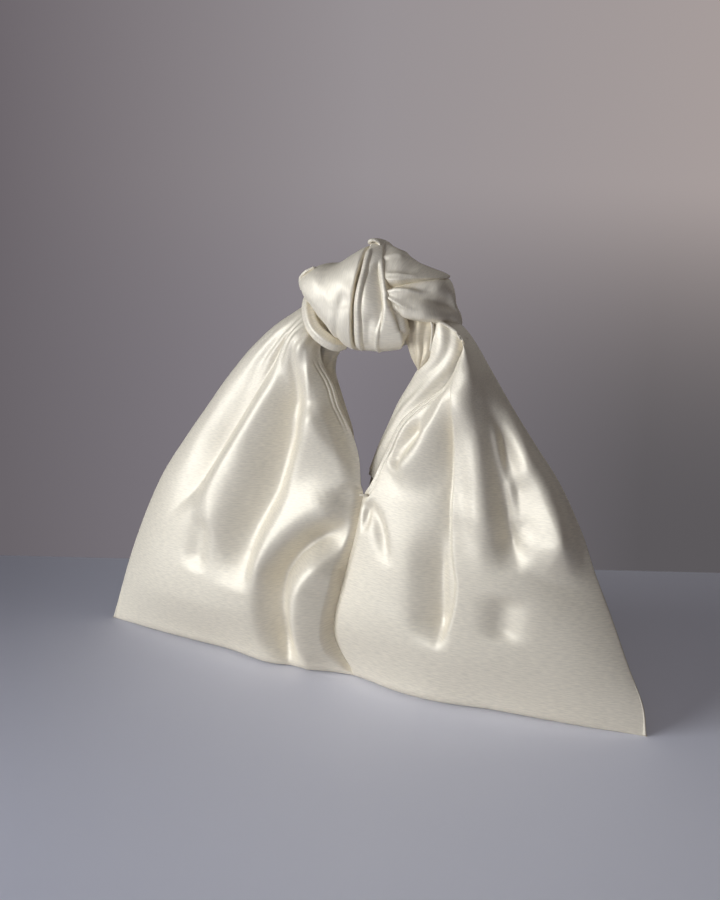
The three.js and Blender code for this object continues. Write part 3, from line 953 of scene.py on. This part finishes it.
def oval_form(stations, along_count, around_count, corner):
    """A closed form along x. Each station is (x, z low, z high, y front, y back). The ring there is an oval
    whose half sizes are half those spans; corner is the power of its sine and cosine, and below 1 makes the
    oval squarer."""
    table = np.asarray(stations, float)
    s = 0.5 - 0.5 * np.cos(np.linspace(0, math.pi, along_count))
    places = np.linspace(0, 1, len(table))
    rows = smooth_rows(places, table, s)
    turn = np.linspace(0, 2 * math.pi, around_count, endpoint=False)
    cosine = np.sign(np.cos(turn)) * np.abs(np.cos(turn)) ** corner
    sine = np.sign(np.sin(turn)) * np.abs(np.sin(turn)) ** corner
    x, low, high, front, back = rows.T
    grid = np.zeros((along_count, around_count, 3))
    grid[..., 0] = x[:, None]
    grid[..., 1] = ((front + back) / 2)[:, None] + ((front - back) / 2)[:, None] * cosine
    grid[..., 2] = ((low + high) / 2)[:, None] + ((high - low) / 2)[:, None] * sine
    return grid


def carve_front(grid, folds, back_share=0.0):
    """Carves fold lines into the front half of a closed form along its normals; the back gets them mirrored
    in strength by back_share."""
    normal = normals_of(grid, closed_columns=True)
    middle = grid.mean(axis=(0, 1))
    outward = np.sign(((grid - middle) * normal).sum(-1).mean())
    normal *= outward
    lift = carved(grid[..., 0], grid[..., 2], folds)
    facing = -normal[..., 1]
    share = ease(-0.1, 0.35, facing) + back_share * ease(-0.1, 0.35, -facing)
    return grid + normal * (lift * share)[..., None]


LOBE_STATIONS = (
    (-41.5, 250, 256, -13, -6),
    (-39.5, 246, 258, -16, -1),
    (-36, 242, 260, -20, 4),
    (-31, 237, 262.5, -23, 9),
    (-26, 232, 264, -25, 12),
    (-20, 226, 265, -26, 15),
    (-14, 218.5, 268, -27.5, 17),
    (-7, 215, 273, -28, 18),
    (0, 214.5, 277, -27, 18),
    (7, 217, 277, -23, 17),
    (12, 225, 268, -16, 13),
)
LOBE_FOLDS = (
    fold("crease", -10.0, 1.5, 3.5, (0, 0),
         [(3.4, 279), (3.7, 269), (3.3, 261), (2.5, 253), (1.8, 243), (1.2, 232), (-0.4, 217)]),
    fold("pleat", 0.7, 2.5, 1.0, (0, 0),
         [(1.4, 277), (1.6, 266), (0.8, 254), (0, 243), (-0.6, 232), (-2, 218)]),
    fold("pleat", -1.1, 0.9, 0.9, (0.05, 0.05), [(-35.5, 247), (-29.5, 237), (-23, 227.5), (-15, 217.5)]),
    fold("lip", 1.8, 5, 0.9, (0.1, 0.1), [(-38, 250), (-34, 241), (-28, 233), (-21, 224), (-15, 215)]),
    fold("ridge", -0.9, 3, 3, (0.2, 0.1), [(-4, 256), (-8, 240), (-11, 226), (-12, 216)]),
    fold("pleat", -1.2, 1.3, 1.3, (0.5, 0), [(-9, 236), (-12, 226), (-15, 214)]),
)
OVER_STATIONS = (
    (6, 262, 279, -12, 2),
    (9, 256, 279.5, -14, 8),
    (14, 250, 278.5, -17.5, 12),
    (20, 248, 276.5, -21.5, 14),
    (27, 253, 273, -22.5, 13),
    (34, 257, 270, -19, 10),
    (41, 260, 267.5, -14, 7),
    (47, 261.5, 265.5, -8, 4),
    (50, 262, 264, -3, 2),
)
OVER_FOLDS = (
    fold("pleat", 1.5, 1.0, 2.5, (0.1, 0.3), [(11, 270.5), (15, 272.5), (20, 274), (26, 273)]),
    fold("ridge", -1.2, 3, 3, (0.3, 0.3), [(16, 266), (25, 268), (36, 266.5)]),
    fold("pleat", 0.9, 1.0, 1.0, (0.2, 0.3), [(17, 265), (26, 266), (38, 264.5)]),
)
UNDER_STATIONS = (
    (10, 244, 262, -12, 8),
    (16, 240, 263, -19, 14),
    (22, 238, 263, -23, 16),
    (29, 237, 263.5, -24, 17),
    (36, 236.5, 264, -23, 16),
    (43, 236, 263.5, -20.5, 14),
    (49, 235.5, 262, -15, 10),
    (53, 235, 256, -9, 7),
    (56.5, 234.5, 245, -3, 5),
    (58.5, 234.5, 238, 1, 3),
)
UNDER_FOLDS = (
    fold("ridge", -2.0, 2, 3, (0.05, 0.2), [(20, 257.5), (28, 259.5), (38, 259.5), (50, 257)]),
    fold("pleat", 2.2, 2.5, 2, (0.0, 0.4), [(20, 254.5), (26, 256.5), (34, 257), (43, 256)]),
    fold("ridge", -4.0, 3.5, 4, (0.5, 0.0), [(25, 253), (34, 253), (46, 252), (58, 247)]),
    fold("pleat", 2.0, 1.8, 1.2, (0.0, 0.4), [(20.5, 252.5), (27, 250.5), (34, 247.5), (42, 245.5)]),
    fold("pleat", -1.6, 1.2, 1.2, (0.0, 0.5), [(21.5, 251), (26, 247.5), (30, 244)]),
    fold("ridge", 1.8, 3, 3, (0.2, 0.2), [(28, 243.5), (36, 242), (46, 242), (54, 238)]),
    fold("pleat", -1.2, 1.0, 1.0, (0.3, 0.2), [(30, 240.5), (40, 239.5), (52, 238)]),
)
COLLAR_PATH = (
    (-36.5, -4, 247),
    (-36.5, -9.5, 240),
    (-34, -13.5, 233),
    (-29.5, -16.5, 226.5),
    (-23, -17.5, 221.5),
    (-16, -15.5, 217.5),
    (-11, -10, 216),
)
CURLS = (
    # small turned-in rolls: name, path and radius
    (
        "knot_curl_left",
        ((-31, -14.5, 262.5), (-36, -16, 259.5), (-40, -14.5, 255.5), (-42, -11, 251), (-42, -9, 247)),
        0.9,
    ),
    (
        "knot_curl_apex",
        ((1.5, -7, 279.5), (3, -9, 281), (5.5, -8.5, 281.5), (8, -7.5, 280), (9.5, -8, 276.5)),
        1.1,
    ),
)
BAND_EDGES = (
    # turn from the apex in degrees, then the left and right edge: x, y, z
    (0, 3.0, -2, 280.5, 9.0, -2, 279.5),
    (25, 4.5, -12, 277, 11.5, -11, 275),
    (45, 4.8, -19, 270, 15.5, -18, 267),
    (65, 4.4, -25, 260, 20.0, -23.5, 257),
    (85, 3.6, -28, 249, 24.5, -25.5, 246),
    (105, 3.0, -27, 238, 28.5, -23.5, 236),
    (125, 2.2, -24, 226, 30.0, -20, 226.5),
    (145, 1.0, -18.5, 219, 27.0, -14.5, 221),
    (165, 0.5, -9, 216, 22.0, -6, 218.5),
    (185, 0.5, 2, 215.5, 20.0, 3, 218),
    (205, 1.0, 11, 216, 20.0, 10, 218),
    (225, 1.0, 17, 224, 26.0, 16, 226),
    (250, 1.0, 20, 239, 21.0, 19, 239),
    (280, 2.0, 19, 255, 16.0, 18, 254),
    (310, 3.0, 13, 269, 12.0, 12, 268),
    (340, 3.0, 5, 278, 9.5, 5, 277),
)
BAND_FOLDS = (
    fold("pleat", 1.5, 0.9, 1.5, (0.05, 0),
         [(5.0, 277), (5.8, 266), (5.6, 254), (5.2, 243), (5.0, 232), (3.6, 219)]),
    fold("pleat", -0.9, 0.9, 0.9, (0.05, 0),
         [(6.8, 275), (7.8, 265), (7.6, 254), (7.2, 243), (7.0, 232), (5.6, 219)]),
    fold("crease", -3.6, 9, 1.3, (0.15, 0.25),
         [(11, 272), (15, 264), (18.4, 255), (20.2, 247), (19.5, 238), (17, 229)]),
    fold("pleat", 1.0, 1.0, 1.0, (0.2, 0), [(20.5, 246), (19, 238), (16.5, 229), (13.5, 218)]),
    fold("ridge", -1.0, 3, 3, (0.3, 0.1), [(12, 243), (11, 231), (9, 219)]),
    fold("pleat", -1.6, 1.2, 0.8, (0.1, 0.1), [(21.5, 253), (25, 246), (28, 239), (30, 231)]),
    fold("pleat", 1.3, 0.9, 1.2, (0.0, 0.1), [(23, 254.5), (26.5, 247), (29.5, 239), (31.5, 230)]),
)


def band_grid(across, around):
    """The band that wraps the knot from front to back. Each cross row runs from its left to its right edge,
    crowned outward by 4u(1 - u), and its two margins turn in under the neighbouring forms."""
    table = np.asarray(BAND_EDGES, float)
    wrapped = np.vstack([table[-3:], table, table[:3]])
    wrapped[:3, 0] -= 360
    wrapped[-3:, 0] += 360
    turn = np.linspace(0, 360, around, endpoint=False)
    edges = smooth_rows(wrapped[:, 0], wrapped[:, 1:], turn)
    left, right = edges[:, None, :3], edges[:, None, 3:]
    u = np.linspace(-0.12, 1.12, across)[None, :, None]
    inside = np.clip(u, 0, 1)
    grid = left * (1 - inside) + right * inside
    middle = np.array([12.0, -4.0, 247.0])
    outward = grid - middle
    outward[..., 0] = 0
    outward /= np.linalg.norm(outward, axis=-1, keepdims=True)
    width = np.linalg.norm(right - left, axis=-1, keepdims=True)
    crown = 0.05 * width * 4 * inside * (1 - inside)
    grid = grid + outward * crown
    past = np.abs(u - inside)
    grid = grid - outward * past * 60
    grid[..., 0] += ((u - inside)[..., 0] * 14)
    return grid


class KNOTBAG_OT_knot(bpy.types.Operator):
    """The knot's lobe, wrapped band, and tail"""

    bl_idname = "knotbag.knot"
    bl_label = "Knot"

    def execute(self, context):
        lobe = carve_front(oval_form(LOBE_STATIONS, 110, 150, 0.82), LOBE_FOLDS, 0.6)
        over = carve_front(oval_form(OVER_STATIONS, 100, 120, 1.5), OVER_FOLDS, 0.6)
        under = carve_front(oval_form(UNDER_STATIONS, 110, 130, 0.85), UNDER_FOLDS, 0.6)
        band = band_grid(110, 300)
        normal = normals_of(band, closed_rows=True)
        outward = band - np.array([12.0, -4.0, 247.0])
        outward[..., 0] = 0
        normal *= np.sign((normal * outward).sum(-1, keepdims=True))
        lift = carved(band[..., 0], band[..., 2], BAND_FOLDS)
        facing = -normal[..., 1]
        share = ease(-0.3, 0.4, facing) + 0.8 * ease(-0.3, 0.4, -facing)
        band = band + normal * (lift * share)[..., None]
        pieces = (
            ("knot_left_lobe", lobe, ("right_bight",)),
            ("knot_tail_over", over, ("left_tail",)),
            ("knot_tail_under", under, ("right_tail",)),
        )
        for name, grid, nodes in pieces:
            grid = grid + 0.25 * normals_of(grid, closed_columns=True) * soft_noise(
                grid[..., 0], grid[..., 2], 12, 11
            )[..., None]
            piece = cloth_piece(
                name, grid, duchess_satin(), flip=False, closed_columns=True, ends=("first", "last")
            )
            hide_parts(*nodes)
            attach(piece, "knot")
        collar_places = np.linspace(0, 1, len(COLLAR_PATH))
        collar = smooth_rows(collar_places, np.asarray(COLLAR_PATH, float), np.linspace(0, 1, 80))
        taper = 1 - 0.55 * np.abs(np.linspace(-1, 1, 80)) ** 4
        rolls = [("knot_collar", collar, 4.6 * taper, 4.2 * taper, 40)]
        for name, line, radius in CURLS:
            path = smooth_rows(np.linspace(0, 1, len(line)), np.asarray(line, float), np.linspace(0, 1, 60))
            rolls.append((name, path, radius, radius, 16))
        for name, path, deep, high, count in rolls:
            grid = tube_grid(path, deep, high, count)
            turn = np.linspace(0, 2 * math.pi, count, endpoint=False)[None, :, None]
            twist = 2.5 * np.linspace(0, 1, len(path))[:, None, None]
            grid = path[:, None] + (grid - path[:, None]) * (1 + 0.09 * np.cos(5 * turn + twist))
            roll = cloth_piece(
                name, grid, duchess_satin(), closed_columns=True, ends=("first", "last")
            )
            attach(roll, "knot")
        piece = cloth_piece("knot_wrapped_band", band, duchess_satin(), flip=True, closed_rows=True)
        thicken(piece, sizes().satin_thickness)
        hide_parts("left_bight")
        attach(piece, "knot")
        return {"FINISHED"}


class KNOTBAG_OT_stage(bpy.types.Operator):
    """Pale floor, soft lights and the camera"""

    bl_idname = "knotbag.stage"
    bl_label = "Stage"

    def execute(self, context):
        scene = context.scene
        scene.view_settings.view_transform = "Standard"
        place_camera(scene)
        place_floor(scene)
        place_lights(scene)
        return {"FINISHED"}


CAMERA_PLACE = (0.4257, -0.9062, 0.4558)
CAMERA_FORWARD = (-0.41025, 0.86374, -0.29265)
CAMERA_ROLL = math.radians(1.4)
CAMERA_LENS = 68.0


def place_camera(scene):
    """The camera stands where the photograph's was, as fitted from the bag's corners and edges."""
    forward = np.array(CAMERA_FORWARD)
    forward /= np.linalg.norm(forward)
    right = np.cross(forward, [0, 0, 1])
    right /= np.linalg.norm(right)
    up = np.cross(right, forward)
    turned_right = right * math.cos(CAMERA_ROLL) + up * math.sin(CAMERA_ROLL)
    turned_up = -right * math.sin(CAMERA_ROLL) + up * math.cos(CAMERA_ROLL)
    data = bpy.data.cameras.new("camera")
    data.lens = CAMERA_LENS
    data.sensor_width = 36.0
    data.clip_end = 50.0
    camera = bpy.data.objects.new("camera", data)
    matrix = np.eye(4)
    matrix[:3, 0], matrix[:3, 1], matrix[:3, 2] = turned_right, turned_up, -forward
    matrix[:3, 3] = CAMERA_PLACE
    camera.matrix_world = [list(row) for row in matrix.T]
    scene.collection.objects.link(camera)
    scene.camera = camera


def colour_ramp(material, node, output, stops):
    """A colour ramp over a value, with stops given as (place, sRGB hex)."""
    ramp = add_node(material, "ShaderNodeValToRGB", [("Fac", node, output)])
    elements = ramp.color_ramp.elements
    while len(elements) < len(stops):
        elements.new(0.5)
    for element, (place, code) in zip(elements, stops):
        element.position = place
        element.color = linear(code)
    return ramp


def along(material, place, direction, offset):
    """Distance of a floor point along a level direction, less an offset, in metres."""
    dot = add_node(material, "ShaderNodeVectorMath", [(0, place, "Object")], operation="DOT_PRODUCT")
    dot.inputs[1].default_value = (direction[0], direction[1], 0.0)
    less = add_node(material, "ShaderNodeMath", [(0, dot, "Value")], operation="SUBTRACT")
    less.inputs[1].default_value = offset
    return less


WALL_FOOT = 0.195


def place_floor(scene):
    """A large matte paper floor, painted pale near the bag and darker far from it, as light falls off. Behind
    the bag it stands for the wall of the room: there the camera, glossy and transmission rays see a glowing
    grey with painted light and shade, lighter upward and to the right, with a painted shadow of the bag low at
    the right."""
    half = 60.0
    mesh = bpy.data.meshes.new("floor")
    corners = [(-half, -half, 0), (half, -half, 0), (half, half, 0), (-half, half, 0)]
    mesh.from_pydata(corners, [], [(0, 1, 2, 3)])
    floor = bpy.data.objects.new("floor", mesh)
    scene.collection.objects.link(floor)
    material, output = new_material("floor_matte_paper")
    place = add_node(material, "ShaderNodeTexCoord")
    ahead = np.array(CAMERA_FORWARD[:2]) / np.linalg.norm(CAMERA_FORWARD[:2])
    right = (ahead[1], -ahead[0])
    start = np.array(CAMERA_PLACE[:2])
    depth = along(material, place, ahead, float(start @ ahead))
    sideways = along(material, place, right, float(start @ right))
    bearing = add_node(material, "ShaderNodeMath", [(0, sideways, 0), (1, depth, 0)], operation="DIVIDE")
    across = add_node(material, "ShaderNodeMapRange", [("Value", bearing, 0)])
    across.inputs["From Min"].default_value = -0.22
    across.inputs["From Max"].default_value = 0.22
    behind = along(material, place, ahead, 0.0)
    near_floor, far_floor, low_wall, high_wall = (
        colour_ramp(material, across, "Result", tones)
        for tones in (NEAR_FLOOR_TONES, FAR_FLOOR_TONES, LOW_WALL_TONES, HIGH_WALL_TONES)
    )
    # Painted light on the paper floor: pale near the bag, darker towards the wall and to the left.
    paper = passed_over(material, behind, -0.25, WALL_FOOT, (near_floor, "Color"), (far_floor, "Color"))
    # Painted light and shade on the wall: lighter upward and to the right, with a painted shadow of the bag
    # low at the right. It glows for camera, glossy and transmission rays.
    wall = passed_over(material, behind, 0.2, 2.4, (low_wall, "Color"), (high_wall, "Color"))
    glow = add_node(material, "ShaderNodeEmission", [("Color", wall, "Result")])
    shader = add_node(material, "ShaderNodeBsdfPrincipled", [("Base Color", paper, "Result")], Roughness=0.8)
    rays = add_node(material, "ShaderNodeLightPath")
    seen = add_node(
        material,
        "ShaderNodeMath",
        [(0, rays, "Is Camera Ray"), (1, rays, "Is Glossy Ray")],
        operation="ADD",
    )
    links = [(0, seen, 0), (1, rays, "Is Transmission Ray")]
    seen = add_node(material, "ShaderNodeMath", links, operation="ADD")
    seen.use_clamp = True
    far = smooth_range(material, behind, WALL_FOOT - 0.001, WALL_FOOT + 0.0015)
    share = add_node(material, "ShaderNodeMath", [(0, seen, 0), (1, far, "Result")], operation="MULTIPLY")
    mixed = add_node(
        material,
        "ShaderNodeMixShader",
        [("Fac", share, 0), (1, shader, "BSDF"), (2, glow, "Emission")],
    )
    material.node_tree.links.new(mixed.outputs["Shader"], output.inputs["Surface"])
    mesh.materials.append(material)


def passed_over(material, node, low, high, first, second):
    """Passes from a first (node, output) to a second one as a value rises from low to high."""
    share = smooth_range(material, node, low, high)
    return add_node(
        material,
        "ShaderNodeMix",
        [("Factor", share, "Result"), ("A", *first), ("B", *second)],
        data_type="RGBA",
    )


def smooth_range(material, node, low, high):
    """A value passed smoothly from 0 at low to 1 at high."""
    ranged = add_node(material, "ShaderNodeMapRange", [("Value", node, 0)], interpolation_type="SMOOTHSTEP")
    ranged.inputs["From Min"].default_value = low
    ranged.inputs["From Max"].default_value = high
    return ranged


# The stage's tones from left to right as the camera sees it
# All four are painted light and shade: the floor is darker far from the bag and to the left, the wall is
# lighter to the right, and the low wall's dark stop at the right is a painted shadow of the bag.
FAR_FLOOR_TONES = ((0.0, "#A4A4B0"), (0.5, "#E4E6F2"))
NEAR_FLOOR_TONES = ((0.0, "#E2E4F2"), (0.5, "#F4F5FF"))
LOW_WALL_TONES = ((0.0, "#6A656A"), (0.4, "#827D84"), (0.9, "#5C595C"))
HIGH_WALL_TONES = ((0.0, "#6C666B"), (0.5, "#989295"), (1.0, "#A89E9C"))


def aim(name, place, target, size, energy, colour):
    """An upright area lamp of a width and height at a place, turned towards a target."""
    data = bpy.data.lights.new(name, "AREA")
    data.shape = "RECTANGLE"
    data.size, data.size_y = size
    data.energy = energy
    data.color = colour
    lamp = bpy.data.objects.new(name, data)
    away = np.array(place, float) - np.array(target, float)
    away /= np.linalg.norm(away)
    right = np.cross([0, 0, 1], away)
    right /= np.linalg.norm(right)
    up = np.cross(away, right)
    matrix = np.eye(4)
    matrix[:3, 0], matrix[:3, 1], matrix[:3, 2], matrix[:3, 3] = right, up, away, place
    lamp.matrix_world = [list(row) for row in matrix.T]
    bpy.context.scene.collection.objects.link(lamp)
    return lamp


def place_lights(scene):
    """One large soft window light from the left and front, weak ones from above and behind, and a plain
    world."""
    aim("window", (-1.14, -1.50, 0.42), (0, 0, 0.12), (1.6, 1.2), 37.5, (0.92, 0.955, 1.0))
    aim("sky_panel", (0.3, -0.9, 2.1), (0, 0, 0), (2.0, 2.0), 5.9, (0.78, 0.81, 0.98))
    aim("back_window", (0.5, 1.7, 1.1), (0, 0, 0.12), (1.5, 1.5), 3.0, (0.97, 0.98, 1.0))
    world = bpy.data.worlds.new("studio")
    scene.world = world
    world.use_nodes = True
    world.node_tree.nodes.clear()
    output = add_node(world, "ShaderNodeOutputWorld")
    background = add_node(world, "ShaderNodeBackground", Strength=0.052)
    background.inputs["Color"].default_value = (1.0, 0.80, 0.62, 1.0)
    world.node_tree.links.new(background.outputs["Background"], output.inputs["Surface"])


class KNOTBAG_PT_sidebar(bpy.types.Panel):
    """Lists the sizes, the colours and the pieces of the knot bag"""

    bl_idname = "KNOTBAG_PT_sidebar"
    bl_label = "Satin knot bag"
    bl_space_type = "VIEW_3D"
    bl_region_type = "UI"
    bl_category = "Knot bag"

    def draw(self, context):
        for group in (context.scene.knot_bag_sizes, context.scene.knot_bag_colours):
            box = self.layout.box()
            for name in group.__annotations__:
                box.prop(group, name)
        for operator in OPERATORS:
            self.layout.operator(operator.bl_idname)


OPERATORS = (
    KNOTBAG_OT_stage,
    KNOTBAG_OT_panels,
    KNOTBAG_OT_lining,
    KNOTBAG_OT_facings,
    KNOTBAG_OT_knot,
)
CLASSES = (BagSizes, BagColours) + OPERATORS + (KNOTBAG_PT_sidebar,)


def register():
    for cls in CLASSES:
        bpy.utils.register_class(cls)
    bpy.types.Scene.knot_bag_sizes = bpy.props.PointerProperty(type=BagSizes)
    bpy.types.Scene.knot_bag_colours = bpy.props.PointerProperty(type=BagColours)


def unregister():
    del bpy.types.Scene.knot_bag_colours
    del bpy.types.Scene.knot_bag_sizes
    for cls in reversed(CLASSES):
        bpy.utils.unregister_class(cls)


def main():
    """Builds every piece in order."""
    register()
    bpy.ops.knotbag.stage()
    bpy.ops.knotbag.panels()
    bpy.ops.knotbag.lining()
    bpy.ops.knotbag.facings()
    bpy.ops.knotbag.knot()


if __name__ == "__main__":
    main()
